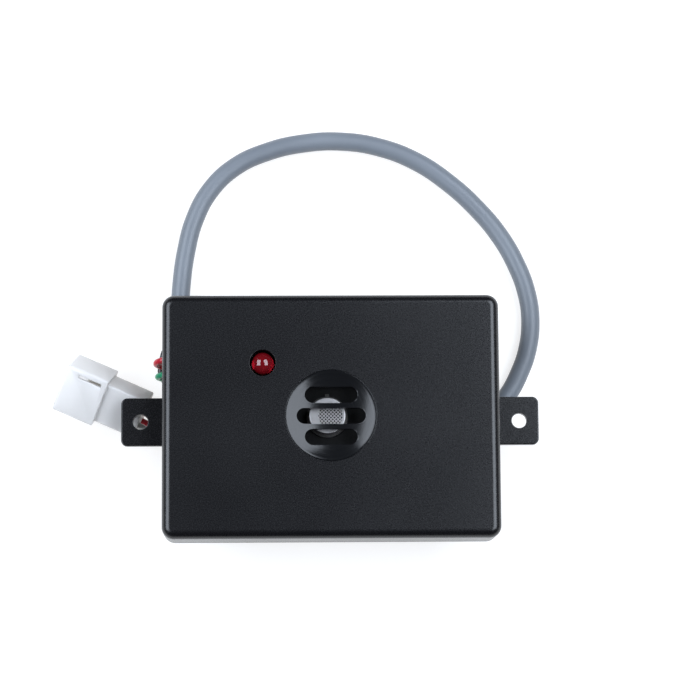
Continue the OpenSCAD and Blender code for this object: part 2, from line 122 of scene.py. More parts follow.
def tint(tree, shader, value, dark, light):
    # colour between dark and light
    mix = addNode(tree, "Mix", data_type="RGBA")
    mix.inputs["A"].default_value = (*dark, 1)
    mix.inputs["B"].default_value = (*light, 1)
    tree.links.new(value, mix.inputs["Factor"])
    tree.links.new(mix.outputs["Result"], shader.inputs["Base Color"])


def relief(tree, shader, height, depth, after=None):
    # bump of this depth in mm
    bump = addNode(tree, "Bump")
    bump.inputs["Distance"].default_value = depth * mm
    bump.inputs["Strength"].default_value = 1
    tree.links.new(height, bump.inputs["Height"])
    if after:
        tree.links.new(after, bump.inputs["Normal"])
    tree.links.new(bump.outputs["Normal"], shader.inputs["Normal"])
    return bump.outputs["Normal"]


plastic = {"cloud": 22, "cloudShare": 0.2, "shinier": 0.05, "duller": 0.06, "mottle": (0.4, 0.8)}


def mouldedPlastic(name, dark, light, roughness, grainSize=0.22, depth=0.006):
    # satin plastic from a spark-eroded mould: fine pits and broad, very faint shine changes
    material, tree, shader = newMaterial(name, IOR=1.5)
    where = objectSpace(tree)
    cloud = grain(tree, where, plastic["cloud"], 2)
    pits = grain(tree, where, grainSize, 3, 0.6)
    tint(tree, shader, cloud, dark, light)
    mottle = addNode(tree, "Math", operation="MULTIPLY_ADD")
    tree.links.new(cloud, mottle.inputs[0])
    mottle.inputs[1].default_value = plastic["cloudShare"]
    tree.links.new(pits, mottle.inputs[2])
    dull(tree, shader, mottle.outputs[0], roughness - plastic["shinier"],
         roughness + plastic["duller"], *plastic["mottle"])
    relief(tree, shader, pits, depth)
    return material


# Cords: the lead's jacket and its four wires

leadRoutes = {
    # mm; the jacket starts inside the housing and ends where the wires leave it
    "jacket": [
        (15.5, 0, 5.6), (21, 0, 5.6), (27.5, 0, 5.6), (31, 0.2, 5.2), (35, 1.6, 4.2),
        (38.6, 4.2, 3), (41.6, 7.8, 2.3), (44.2, 12.6, 2.2), (46.2, 18.2, 2.2), (47, 25, 2.2),
        (46.2, 31.6, 2.2), (43.8, 38.4, 2.2), (40, 45.2, 2.2), (34.8, 51.6, 2.2),
        (28.4, 57.6, 2.2), (20.8, 62.8, 2.2), (12.2, 66.2, 2.2), (3.4, 67.6, 2.2),
        (-5.4, 67.2, 2.2), (-14, 65.2, 2.2), (-21.6, 61.6, 2.2), (-27.4, 56, 2.2),
        (-31, 49.2, 2.2), (-33, 41.6, 2.2), (-34.1, 33.4, 2.2), (-34.4, 27.2, 2.2),
        (-34.4, 23, 2.2)],
    "red": [
        (-35.25, 23, 3.05), (-35.25, 22, 3.05), (-34.5, 19.6, 3.1), (-33.8, 17.8, 3.1),
        (-33.7, 16.4, 3.1), (-34.6, 14.8, 3.1), (-36.4, 14.1, 3.1), (-38.2, 14.2, 3.5),
        (-39.4, 14.4, 4.7), (-39.7, 14.6, 6.2), (-39.1, 14.9, 7.8), (-37.6, 15.1, 8.7),
        (-35.6, 15.1, 8.7), (-33.9, 14.3, 8.1), (-32.8, 12.6, 7.2), (-32.3, 10, 5.8),
        (-32.5, 7, 4.4), (-33.2, 4.6, 3.6), (-33.9, 2.3, 3.5), (-34.4, 0.4, 3.9),
        (-35.5, -0.6, 4.2), (-36.9, -0.9, 4.4), (-38.4, -0.5, 4.4), (-43.9, 2, 4.4)],
    "black": [
        (-35.25, 23, 1.35), (-35.25, 22.2, 1.35), (-35.6, 20.9, 1.1), (-36.9, 19.6, 1),
        (-38, 18.2, 0.9), (-38.5, 16.6, 0.8), (-38.8, 14.8, 0.8), (-38.9, 13.2, 0.8),
        (-38.1, 11.3, 0.8), (-36.6, 9.6, 0.9), (-34.6, 8.4, 1.2), (-32.2, 7.6, 1.6),
        (-30.2, 6.7, 2.8), (-29.1, 5.4, 4.6), (-28.9, 4, 6.6), (-29.6, 2.5, 8.4),
        (-31.2, 1.2, 9.6), (-33.2, 0.7, 9.9), (-35.2, 0.8, 9.9), (-37.6, 1.5, 9.9),
        (-39.8, 2.5, 9.9), (-43.1, 4, 9.9)],
    "green": [
        (-33.55, 23, 1.35), (-33.55, 21.6, 1.35), (-33, 19.6, 1.4), (-32.6, 17.6, 1.6),
        (-32.5, 15.5, 2), (-32.8, 13.6, 2.4), (-34, 12, 2.6), (-35.9, 11.4, 2.8),
        (-37.8, 11.4, 3.2), (-39, 11.5, 4.4), (-39.3, 11.6, 6), (-38.6, 11.7, 7.5),
        (-37, 11.8, 8.4), (-35, 11.4, 8.3), (-33.6, 10, 7.5), (-33, 8, 6.7), (-32.8, 6.2, 6.1),
        (-33, 4.8, 6), (-33.7, 3.5, 6), (-34.9, 2.75, 6), (-36.3, 2.7, 6.1), (-37.7, 3.4, 6.1),
        (-42.4, 5.5, 6.1)],
    "white": [
        (-33.55, 23, 3.05), (-33.55, 22, 3.05), (-32.2, 19, 3.6), (-31.1, 15.5, 4.6),
        (-30.6, 12, 5.8), (-30.6, 9, 7), (-31.4, 6.4, 7.8), (-33, 4.4, 8.1), (-34.4, 2.6, 8.2),
        (-34.9, 0.8, 8.2), (-35.4, -0.9, 8.2), (-36.5, -2, 8.2), (-38, -2.3, 8.2),
        (-39.6, -1.8, 8.2), (-44.6, 0.5, 8.2)],
}
jacket = {
    "diameter": 4.3, "length": 182, "tones": ((0.146, 0.163, 0.186), (0.19, 0.212, 0.239)),
    "roughness": (0.34, 0.5), "cloud": 14, "grain": 0.35, "grainDepth": 0.012,
}
wire = {
    "diameter": 1.4, "roughness": (0.22, 0.36), "cloud": 1.8, "grain": 0.3, "grainDepth": 0.006,
    "lengths": {"red": 49.3, "black": 45, "green": 43.2, "white": 36.7},
    "colours": {
        "red": ((0.42, 0.008, 0.02), (0.56, 0.015, 0.035)),
        "black": ((0.012, 0.012, 0.013), (0.02, 0.02, 0.022)),
        "green": ((0.005, 0.2, 0.09), (0.012, 0.28, 0.13)),
        "white": ((0.72, 0.72, 0.7), (0.82, 0.82, 0.8)),
    },
}


def cordCurve(name, route, diameter, material):
    data = bpy.data.curves.new(name, "CURVE")
    data.dimensions = "3D"
    data.resolution_u = 8
    data.bevel_depth = diameter / 2 * mm
    data.bevel_resolution = 7
    data.use_fill_caps = True
    spline = data.splines.new("BEZIER")
    spline.bezier_points.add(len(route) - 1)
    for point, spot in zip(spline.bezier_points, route):
        point.co = Vector(spot) * mm
        point.handle_left_type = "AUTO"
        point.handle_right_type = "AUTO"
    data.materials.append(material)
    piece = bpy.data.objects.new(name, data)
    bpy.context.scene.collection.objects.link(piece)
    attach(piece, "housing")
    return piece


def jacketMaterial():
    # grey PVC: satin, finely grained, with a slight bloom in places
    material, tree, shader = newMaterial("jacketGrey", IOR=1.46)
    where = objectSpace(tree)
    cloud = grain(tree, where, jacket["cloud"], 4)
    tint(tree, shader, cloud, *jacket["tones"])
    dull(tree, shader, cloud, *jacket["roughness"])
    relief(tree, shader, grain(tree, where, jacket["grain"], 3, 0.6), jacket["grainDepth"])
    return material


def wireMaterial(name, colours):
    # gloss PVC insulation, slightly uneven along its length
    material, tree, shader = newMaterial(name, IOR=1.5)
    where = objectSpace(tree)
    cloud = grain(tree, where, wire["cloud"], 3)
    tint(tree, shader, cloud, *colours)
    dull(tree, shader, cloud, *wire["roughness"])
    relief(tree, shader, grain(tree, where, wire["grain"], 2), wire["grainDepth"])
    return material


def makeLead():
    route = leadRoutes["jacket"]
    pieces = {"jacket": cordCurve("leadJacket", route, jacket["diameter"], jacketMaterial())}
    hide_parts("cable_jacket")
    for colour, tones in wire["colours"].items():
        piece = cordCurve(colour + "Wire", leadRoutes[colour], wire["diameter"],
                          wireMaterial(colour + "Insulation", tones))
        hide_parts("wire_" + colour)
        pieces[colour] = piece
    return pieces


leadPieces = makeLead()
print("lead and wires laid")


# Helpers for meshes

def arc(centre, radius, fromDeg, toDeg, steps):
    turns = [math.radians(fromDeg + (toDeg - fromDeg) * i / steps) for i in range(steps + 1)]
    return [(centre[0] + radius * math.cos(t), centre[1] + radius * math.sin(t)) for t in turns]


def roundRect(width, height, radius, steps=12):
    x, y = width / 2 - radius, height / 2 - radius
    corners = [((x, y), 0), ((-x, y), 90), ((-x, -y), 180), ((x, -y), 270)]
    return [p for centre, start in corners for p in arc(centre, radius, start, start + 90, steps)]


def quarterRound(radius, turns=(0, 30, 60, 90)):
    # a rounded edge as (inset, rise) steps, from the flat face to the full side
    return [(radius * (1 - math.sin(math.radians(a))), radius * (1 - math.cos(math.radians(a))))
            for a in turns]


def circle(radius, centre=(0, 0), steps=64):
    return arc(centre, radius, 0, 360 - 360 / steps, steps - 1)


def addLoop(bm, outline, z):
    return [bm.verts.new(Vector((x, y, z)) * mm) for x, y in outline]


def joinLoops(bm, low, high):
    count = len(low)
    for i in range(count):
        j = (i + 1) % count
        bm.faces.new((low[i], low[j], high[j], high[i]))


def loft(bm, rings):
    # rings: (outline, height) pairs; returns their loops of vertices
    loops = [addLoop(bm, outline, z) for outline, z in rings]
    for low, high in zip(loops, loops[1:]):
        joinLoops(bm, low, high)
    return loops


def fillBetween(bm, loops):
    # one flat face with the later loops as holes in the first
    edges = [bm.edges.get((vertex, loop[(i + 1) % len(loop)]))
             for loop in loops for i, vertex in enumerate(loop)]
    bmesh.ops.triangle_fill(bm, use_beauty=True, use_dissolve=False, edges=edges)


def lathe(bm, profile, centre=(0, 0), steps=64, closed=True):
    # profile: (radius, height) points; a closed one ends where it starts, an open one on the axis
    loops = []
    for radius, z in profile:
        if radius < 1e-6:
            loops.append([bm.verts.new(Vector((*centre, z)) * mm)])
        else:
            loops.append(addLoop(bm, circle(radius, centre, steps), z))
    pairs = list(zip(loops, loops[1:]))
    if closed:
        pairs.append((loops[-1], loops[0]))
    for low, high in pairs:
        if len(low) == 1:
            for i in range(steps):
                bm.faces.new((low[0], high[(i + 1) % steps], high[i]))
        elif len(high) == 1:
            for i in range(steps):
                bm.faces.new((low[i], low[(i + 1) % steps], high[0]))
        else:
            joinLoops(bm, low, high)


def roundedProfile(points, steps=5):
    # an open profile of (radius, height, round) points, with each inner corner rounded
    out = [points[0][:2]]
    for before, here, after in zip(points, points[1:], points[2:]):
        corner = Vector(here[:2])
        toBefore = (Vector(before[:2]) - corner)
        toAfter = (Vector(after[:2]) - corner)
        cut = min(here[2], toBefore.length * 0.49, toAfter.length * 0.49)
        if cut < 1e-4:
            out.append(here[:2])
            continue
        start = corner + toBefore.normalized() * cut
        end = corner + toAfter.normalized() * cut
        for i in range(steps + 1):
            t = i / steps
            spot = start * (1 - t) ** 2 + corner * 2 * t * (1 - t) + end * t ** 2
            out.append((spot.x, spot.y))
    out.append(points[-1][:2])
    return out


def makePiece(name, bm, material, smoothAngle=35):
    bmesh.ops.remove_doubles(bm, verts=bm.verts, dist=1e-7)
    bmesh.ops.recalc_face_normals(bm, faces=bm.faces)
    mesh = bpy.data.meshes.new(name)
    bm.to_mesh(mesh)
    bm.free()
    mesh.materials.append(material)
    piece = bpy.data.objects.new(name, mesh)
    bpy.context.scene.collection.objects.link(piece)
    for polygon in mesh.polygons:
        polygon.use_smooth = True
    mesh.set_sharp_from_angle(angle=math.radians(smoothAngle))
    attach(piece, "housing")
    return piece


def applyModifiers(piece):
    graph = bpy.context.evaluated_depsgraph_get()
    made = bpy.data.meshes.new_from_object(piece.evaluated_get(graph))
    piece.modifiers.clear()
    old = piece.data
    piece.data = made
    bpy.data.meshes.remove(old)


def cutAway(piece, bm):
    # takes the closed shapes in bm out of the piece
    mesh = bpy.data.meshes.new("cutter")
    bmesh.ops.recalc_face_normals(bm, faces=bm.faces)
    bm.to_mesh(mesh)
    bm.free()
    cutter = bpy.data.objects.new("cutter", mesh)
    bpy.context.scene.collection.objects.link(cutter)
    boolean = piece.modifiers.new("cut", "BOOLEAN")
    boolean.operation = "DIFFERENCE"
    boolean.solver = "EXACT"
    boolean.object = cutter
    applyModifiers(piece)
    bpy.data.objects.remove(cutter)
    bpy.data.meshes.remove(mesh)


def softenEdges(piece, width, segments):
    # breaks the edges that the cutting left sharp
    bevel = piece.modifiers.new("soften", "BEVEL")
    bevel.width = width * mm
    bevel.segments = segments
    bevel.limit_method = "ANGLE"
    bevel.angle_limit = math.radians(50)
    applyModifiers(piece)
    for polygon in piece.data.polygons:
        polygon.use_smooth = True
    piece.data.set_sharp_from_angle(angle=math.radians(60))


def flatWay(normal):
    return max(abs(normal.x), abs(normal.y), abs(normal.z)) > 0.99999


def evenNormals(piece):
    # corners of a flat face take its own normal, and rounded edges run smoothly into it
    mesh = piece.data
    normals = [Vector(corner.vector) for corner in mesh.corner_normals]
    flats = {}
    for polygon in mesh.polygons:
        if flatWay(polygon.normal):
            for vertex in polygon.vertices:
                flats.setdefault(vertex, []).append(polygon.normal)
    for polygon in mesh.polygons:
        for i in polygon.loop_indices:
            if flatWay(polygon.normal):
                normals[i] = polygon.normal
                continue
            near = [way for way in flats.get(mesh.loops[i].vertex_index, ())
                    if way.dot(polygon.normal) > 0.6]
            if near:
                normals[i] = near[0]
    mesh.normals_split_custom_set([way.to_tuple() for way in normals])


# Front shell

shell = {
    "width": 75.2, "height": 54.5, "cornerRound": 2.7, "edgeRound": 2, "wall": 2,
    "rim": 15.6, "roof": 24.8, "top": 27, "seamRound": 0.2,
    "guardHole": 10.2, "lampHole": 2.925, "lampAt": (-15.2, 11.8), "holeRound": 0.08,
    "screws": [(-32.5, -22), (32.5, -22), (32.5, 22), (-32.5, 22)],
    "boss": 3.2, "pilot": 1.3, "bossGap": 0.02, "bossInto": 0.5, "grooveDepth": 1,
    "cavityRound": 1.3,
}


def shellOutline(inset):
    radius = max(shell["cornerRound"] - inset, 0.3)
    return roundRect(shell["width"] - 2 * inset, shell["height"] - 2 * inset, radius)


def makeShell(material):
    bm = bmesh.new()
    seam, edge, top = shell["seamRound"], shell["edgeRound"], shell["top"]
    rings = [(shellOutline(inset), shell["rim"] + rise) for inset, rise in quarterRound(seam)]
    rings += [(shellOutline(inset), top - drop)
              for drop, inset in quarterRound(edge, range(0, 91, 9))]
    outer = loft(bm, rings)
    # inside: gasket groove, cavity wall and ceiling
    width, height, wall = shell["width"], shell["height"], shell["wall"]
    groove = roundRect(width - wall, height - wall, shell["cornerRound"] - wall / 2)
    cavity = roundRect(width - 2 * wall, height - 2 * wall, shell["cavityRound"])
    ledge = shell["rim"] + shell["grooveDepth"]
    inner = loft(bm, [(groove, shell["rim"]), (groove, ledge), (cavity, ledge),
                      (cavity, shell["roof"])])
    joinLoops(bm, outer[0], inner[0])
    # holes with softly broken edges
    tops, ceilings = [outer[-1]], [inner[-1]]
    for radius, centre, steps in ((shell["guardHole"], (0, 0), 96),
                                  (shell["lampHole"], shell["lampAt"], 56)):
        hole = loft(bm, [(circle(radius + grow, centre, steps), top - drop)
                         for grow, drop in quarterRound(shell["holeRound"])]
                    + [(circle(radius, centre, steps), shell["roof"])])
        tops.append(hole[0])
        ceilings.append(hole[-1])
    fillBetween(bm, tops)
    fillBetween(bm, ceilings)
    bossLow = shell["rim"] + shell["bossGap"]
    bossHigh = shell["roof"] + shell["bossInto"]
    for spot in shell["screws"]:
        lathe(bm, [(shell["pilot"], bossLow), (shell["boss"], bossLow),
                   (shell["boss"], bossHigh), (shell["pilot"], bossHigh)], spot, 40)
    piece = makePiece("frontShell", bm, material)
    evenNormals(piece)
    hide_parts("front_shell")


makeShell(mouldedPlastic("shellBlack", (0.003, 0.003, 0.0038), (0.0042, 0.0042, 0.0052),
                         roughness=0.27, grainSize=0.3, depth=0.005))
print("front shell built")


# Sensor guard: a turned dish with three slots

guard = {
    "radius": 10.15, "top": 27, "dishRadius": 10, "dishDepth": 1.6, "shoulder": 11.4,
    "back": 24, "shoulderTop": 24.8, "slotHeight": 3.55, "slotPitch": 4.68,
    "longSlot": 15.4, "shortSlot": 11.8, "slotRound": 0.16, "edge": 0.06, "rings": 26,
    "tones": ((0.004, 0.0042, 0.005), (0.0062, 0.0066, 0.0074)), "roughness": (0.13, 0.2),
    "specular": 0.42, "cloud": 5, "turning": 0.35, "turningDepth": 0.004,
    "grain": 0.2, "grainDepth": 0.003,
}


def dishHeight(radius):
    reach, depth = guard["dishRadius"], guard["dishDepth"]
    ball = (reach ** 2 + depth ** 2) / (2 * depth)
    return guard["top"] - depth + ball - math.sqrt(ball ** 2 - radius ** 2)


def makeGuard(material):
    bm = bmesh.new()
    count = guard["rings"]
    reach = [guard["dishRadius"] * i / count for i in range(count + 1)]
    dish = [(away, dishHeight(away)) for away in reach]
    radius, top, edge = guard["radius"], guard["top"], guard["edge"]
    rim = [(guard["dishRadius"] + edge / 2, top), (radius - edge, top),
           (radius - edge / 3, top - edge / 3), (radius, top - edge)]
    back = [(radius, guard["shoulderTop"]), (guard["shoulder"], guard["shoulderTop"]),
            (guard["shoulder"], guard["back"]), (0, guard["back"])]
    lathe(bm, dish + rim + back, steps=128, closed=False)
    piece = makePiece("sensorGuard", bm, material, 30)
    for length, y in ((guard["longSlot"], 0), (guard["shortSlot"], guard["slotPitch"]),
                      (guard["shortSlot"], -guard["slotPitch"])):
        cutter = bmesh.new()
        end = guard["slotHeight"] / 2        # the cutter runs well past both faces
        outline = (arc((length / 2 - end, y), end, -90, 90, 18)
                   + arc((-length / 2 + end, y), end, 90, 270, 18))
        loops = loft(cutter, [(outline, guard["back"] - 2), (outline, guard["top"] + 2)])
        cutter.faces.new(loops[0][::-1])
        cutter.faces.new(loops[1])
        cutAway(piece, cutter)
    softenEdges(piece, guard["slotRound"], 3)
    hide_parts("sensor_guard")


def guardMaterial():
    # satin black with fine rings left by the turned mould insert
    material, tree, shader = newMaterial("guardBlack", IOR=1.5)
    shader.inputs["Specular IOR Level"].default_value = guard["specular"]
    where = objectSpace(tree)
    flat = addNode(tree, "VectorMath", operation="MULTIPLY")
    flat.inputs[1].default_value = (1, 1, 0)
    tree.links.new(where, flat.inputs[0])
    reach = addNode(tree, "VectorMath", operation="LENGTH")
    tree.links.new(flat.outputs["Vector"], reach.inputs[0])
    rings = addNode(tree, "TexNoise", noise_dimensions="1D")
    rings.inputs["Scale"].default_value = 1 / (guard["turning"] * mm)
    rings.inputs["Detail"].default_value = 3
    tree.links.new(reach.outputs["Value"], rings.inputs["W"])
    tint(tree, shader, grain(tree, where, guard["cloud"], 3), *guard["tones"])
    dull(tree, shader, rings.outputs["Fac"], *guard["roughness"])
    turned = relief(tree, shader, rings.outputs["Fac"], guard["turningDepth"])
    relief(tree, shader, grain(tree, where, guard["grain"], 2), guard["grainDepth"], turned)
    return material


makeGuard(guardMaterial())
print("sensor guard built")


# Rear housing: flange with two ears, and the narrower back part

rear = {
    "ears": 94.4, "earWidth": 10.9, "earRound": 1.4, "rootRound": 0.35,
    "flangeBottom": 13.6, "flangeTop": 15.6, "edge": 0.3,
    "plinth": (48, 44, 3), "cavity": (44, 40, 1.4), "floor": 2, "footRound": 0.7,
    "earHole": 1.7, "holeAt": 42.8, "screwHole": 1.5, "holeRound": 0.12,
    "posts": [(-18.2, -16), (18.2, -16), (18.2, 16), (-18.2, 16)], "post": 2.6,
    "postPilot": 1, "postTop": 14, "pilotDepth": 6, "postInto": 0.3,
    "leadHole": 3.1, "leadHeight": 5.6, "leadReach": 3,
}


def flangeOutline(inset, steps=8):
    # corners of one quarter: x, y, round, and +1 for an outside corner or -1 for an inside one
    body, high = shell["width"] / 2, shell["height"] / 2
    tip, half = rear["ears"] / 2, rear["earWidth"] / 2
    quarter = []
    for x, y, radius, kind in ((tip, half, rear["earRound"], 1),
                               (body, half, rear["rootRound"], -1),
                               (body, high, shell["cornerRound"], 1)):
        x, y, radius = x - inset, y - inset, radius - kind * inset
        if kind > 0:
            quarter += arc((x - radius, y - radius), radius, 0, 90, steps)
        else:
            quarter += arc((x + radius, y + radius), radius, 270, 180, steps)
    return (quarter + [(-x, y) for x, y in reversed(quarter)] + [(-x, -y) for x, y in quarter]
            + [(x, -y) for x, y in reversed(quarter)])


def edgeHole(bm, radius, centre, low, high):
    edge = quarterRound(rear["holeRound"], (0, 45, 90))
    rings = [(circle(radius + grow, centre, 48), low + rise) for grow, rise in edge]
    rings += [(circle(radius + grow, centre, 48), high - drop) for grow, drop in reversed(edge)]
    return loft(bm, rings)


def makeRear(material):
    bm = bmesh.new()
    low, high = rear["flangeBottom"], rear["flangeTop"]
    edge = quarterRound(rear["edge"])
    rings = [(flangeOutline(inset), low + rise) for inset, rise in edge]
    rings += [(flangeOutline(inset), high - drop) for inset, drop in reversed(edge)]
    flange = loft(bm, rings)
    holes = [edgeHole(bm, rear["earHole"], (side * rear["holeAt"], 0), low, high)
             for side in (-1, 1)]
    holes += [edgeHole(bm, rear["screwHole"], spot, low, high) for spot in shell["screws"]]
    width, height, corner = rear["plinth"]
    foot = quarterRound(rear["footRound"], (0, 22.5, 45, 67.5, 90))
    plinth = loft(bm, [(roundRect(width, height, corner), low)]
                  + [(roundRect(width - 2 * inset, height - 2 * inset, corner - inset), rise)
                     for rise, inset in foot])
    bm.faces.new(plinth[-1])
    mouth = roundRect(*rear["cavity"])
    cavity = loft(bm, [(mouth, high), (mouth, rear["floor"])])
    bm.faces.new(cavity[-1])
    fillBetween(bm, [flange[-1], cavity[0]] + [hole[-1] for hole in holes])
    fillBetween(bm, [flange[0], plinth[0]] + [hole[0] for hole in holes])
    root = rear["floor"] - rear["postInto"]
    top, pilotEnd = rear["postTop"], rear["postTop"] - rear["pilotDepth"]
    for spot in rear["posts"]:
        lathe(bm, [(0, root), (rear["post"], root), (rear["post"], top), (rear["postPilot"], top),
                   (rear["postPilot"], pilotEnd), (0, pilotEnd)], spot, 40, closed=False)
    piece = makePiece("rearHousing", bm, material)
    cutter = bmesh.new()
    bore, reach = rear["leadHole"], rear["leadReach"]
    lathe(cutter, [(0, -reach), (bore, -reach), (bore, reach), (0, reach)], steps=48,
          closed=False)
    wallMiddle = (width + rear["cavity"][0]) / 4
    turn = Matrix.Rotation(math.radians(90), 4, "Y")
    spot = Matrix.Translation(Vector((wallMiddle, 0, rear["leadHeight"])) * mm)
    bmesh.ops.transform(cutter, matrix=spot @ turn, verts=cutter.verts)
    cutAway(piece, cutter)
    evenNormals(piece)
    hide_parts("rear_housing")


makeRear(mouldedPlastic("housingBlack", (0.0032, 0.0032, 0.004), (0.0044, 0.0044, 0.0055),
                        roughness=0.25, grainSize=0.25, depth=0.003))
print("rear housing built")


# Strain relief

relieve = {
    "bore": 2.2, "insideFlange": 3.5, "neck": 3.1, "outsideFlange": 4.2, "nose": 3,
    "taper": 0.12, "insideX": 20.8, "wallIn": 22, "wallOut": 24, "flangeOut": 25.2, "endX": 27.5,
}


def makeRelief(material):
    r = relieve
    profile = roundedProfile([
        (r["bore"], r["insideX"], 0), (r["insideFlange"], r["insideX"], 0.3),
        (r["insideFlange"], r["wallIn"], 0.1), (r["neck"], r["wallIn"], 0),
        (r["neck"], r["wallOut"], 0), (r["outsideFlange"], r["wallOut"], 0.1),
        (r["outsideFlange"], r["flangeOut"], 0.45), (r["nose"], r["flangeOut"], 0.25),
        (r["nose"] - r["taper"], r["endX"], 0.3), (r["bore"], r["endX"], 0)])
    bm = bmesh.new()
    lathe(bm, profile, steps=64)
    turn = Matrix.Rotation(math.radians(90), 4, "Y")
    spot = Matrix.Translation(Vector((0, 0, rear["leadHeight"])) * mm)
    bmesh.ops.transform(bm, matrix=spot @ turn, verts=bm.verts)
    piece = makePiece("strainRelief", bm, material)
    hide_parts("cable_grommet")


softRubber = {"specular": 0.35, "vary": 0.08, "poreDepth": 0.02}


def rubber(name, dark, light, roughness, size=0.4):
    # matt, with fine pores of this size
    material, tree, shader = newMaterial(name, IOR=1.5)
    shader.inputs["Specular IOR Level"].default_value = softRubber["specular"]
    where = objectSpace(tree)
    tint(tree, shader, grain(tree, where, size * 6, 3), dark, light)
    pores = grain(tree, where, size, 4, 0.65)
    dull(tree, shader, pores, roughness - softRubber["vary"], roughness + softRubber["vary"])
    relief(tree, shader, pores, softRubber["poreDepth"])
    return material


makeRelief(rubber("reliefRubber", (0.007, 0.007, 0.008), (0.012, 0.012, 0.013), 0.55))
print("strain relief built")


# Gas sensor behind the guard

sensor = {
    "at": (-0.8, 0.3), "baseTop": 21.1, "can": 4.05, "canTop": 23.8, "skin": 0.3,
    "shoulder": 0.5, "window": 2.7, "windowX": 0.7, "windowRound": 0.06,
    "meshRadius": 3.7, "meshHeight": 23.3, "wirePitch": 0.56, "wireThick": 0.19,
}


def makeCan(material):
    # a drawn cup, mouth down; its window is a little off centre
    s = sensor
    inner = s["can"] - s["skin"]
    outside = roundedProfile([(inner, s["baseTop"], 0), (s["can"], s["baseTop"], 0.05),
                              (s["can"], s["canTop"], s["shoulder"]),
                              (s["can"] - s["shoulder"], s["canTop"], 0)], 6)
    bm = bmesh.new()
    steps = 96
    roof, under = s["canTop"], s["canTop"] - s["skin"]
    outer = [addLoop(bm, circle(radius, s["at"], steps), z) for radius, z in outside]
    centre = (s["at"][0] + s["windowX"], s["at"][1])
    soft = s["windowRound"]
    window = [addLoop(bm, circle(s["window"] + grow, centre, steps), z) for grow, z in
              ((soft, roof), (soft * 0.3, roof - soft * 0.3), (0, roof - soft), (0, under))]
    ceiling = addLoop(bm, circle(inner, s["at"], steps), under)
    loops = outer + window + [ceiling]
    for low, high in zip(loops, loops[1:] + loops[:1]):
        joinLoops(bm, low, high)
    piece = makePiece("sensorCan", bm, material, 50)
    evenNormals(piece)
    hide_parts("sensor_can")


def weaveWire(bm, start, end, phase, spot, sides=6):
    # one wire of the gauze, going over and under its neighbours
    s = sensor
    along = (end - start)
    count = max(4, round(along.length / s["wirePitch"] * 4))
    direction = along.normalized()
    across = Vector((-direction.y, direction.x, 0))
    rings = []
    for i in range(count + 1):
        centre = start + along * i / count
        wave = math.cos(math.pi * (centre.dot(direction)) / s["wirePitch"] + phase)
        lift = Vector((0, 0, wave * s["wireThick"] * 0.5))
        ring = []
        for k in range(sides):
            a = 2 * math.pi * k / sides
            offset = across * math.cos(a) + Vector((0, 0, math.sin(a)))
            ring.append(bm.verts.new((spot + centre + lift + offset * s["wireThick"] / 2) * mm))
        rings.append(ring)
    for low, high in zip(rings, rings[1:]):
        joinLoops(bm, low, high)
    bm.faces.new(rings[0][::-1])
    bm.faces.new(rings[-1])


def makeGauze(material):
    s = sensor
    bm = bmesh.new()
    spot = Vector((*s["at"], s["meshHeight"]))
    reach = int(s["meshRadius"] / s["wirePitch"])
    for diagonal in (45, 135):
        turn = math.radians(diagonal)
        direction = Vector((math.cos(turn), math.sin(turn), 0))
        across = Vector((-direction.y, direction.x, 0))
        for i in range(-reach, reach + 1):
            off = i * s["wirePitch"]
            half = math.sqrt(max(s["meshRadius"] ** 2 - off ** 2, 0))
            if half < s["wirePitch"]:
                continue
            phase = math.pi * (i % 2) + (math.pi if diagonal > 90 else 0)
            weaveWire(bm, across * off - direction * half, across * off + direction * half,
                      phase, spot)
    piece = makePiece("sensorGauze", bm, material, 60)
    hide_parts("sensor_mesh")


worked = {"light": 1.08, "dark": 0.86, "shinier": 0.06, "duller": 0.08}


def metal(name, colour, roughness, markSize=0.15, depth=0.002):
    # fine working marks, and patches a little lighter and darker than the colour
    material, tree, shader = newMaterial(name, Metallic=1)
    where = objectSpace(tree)
    marks = grain(tree, where, markSize, 3, 0.6)
    light = tuple(c * worked["light"] for c in colour)
    dark = tuple(c * worked["dark"] for c in colour)
    tint(tree, shader, grain(tree, where, markSize * 8, 3), dark, light)
    dull(tree, shader, marks, roughness - worked["shinier"], roughness + worked["duller"])
    relief(tree, shader, marks, depth)
    return material


makeCan(metal("canSteel", (0.42, 0.41, 0.41), 0.34, markSize=0.12))
makeGauze(metal("gauzeSteel", (0.5, 0.49, 0.49), 0.36, markSize=0.1, depth=0.001))
print("sensor built")


# Indicator lamp

lamp = {
    "at": shell["lampAt"], "radius": 2.5, "top": 27.8, "foot": 19.2, "flange": 2.9,
    "flangeHeight": 1, "flangeEdges": (0.15, 0.1),
    "tones": ((0.26, 0.005, 0.01), (0.33, 0.008, 0.016)),
    "clear": 0.6, "coat": 0.5, "coatRoughness": 0.04, "cloud": 1.6,
    "roughness": (0.02, 0.06), "haze": 0.9, "ripple": 0.7, "rippleDepth": 0.002,
}


def makeLens(material):
    p = lamp
    dome = arc((0, p["top"] - p["radius"]), p["radius"], 0, 85, 17) + [(0, p["top"])]
    flangeTop = p["foot"] + p["flangeHeight"]
    under, over = p["flangeEdges"]
    foot = [(0, p["foot"]), (p["flange"] - under, p["foot"]), (p["flange"], p["foot"] + under),
            (p["flange"], flangeTop - over), (p["flange"] - over, flangeTop),
            (p["radius"], flangeTop)]
    bm = bmesh.new()
    lathe(bm, foot + dome, p["at"], 72, closed=False)
    piece = makePiece("lampLens", bm, material, 40)
    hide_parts("lamp_lens")


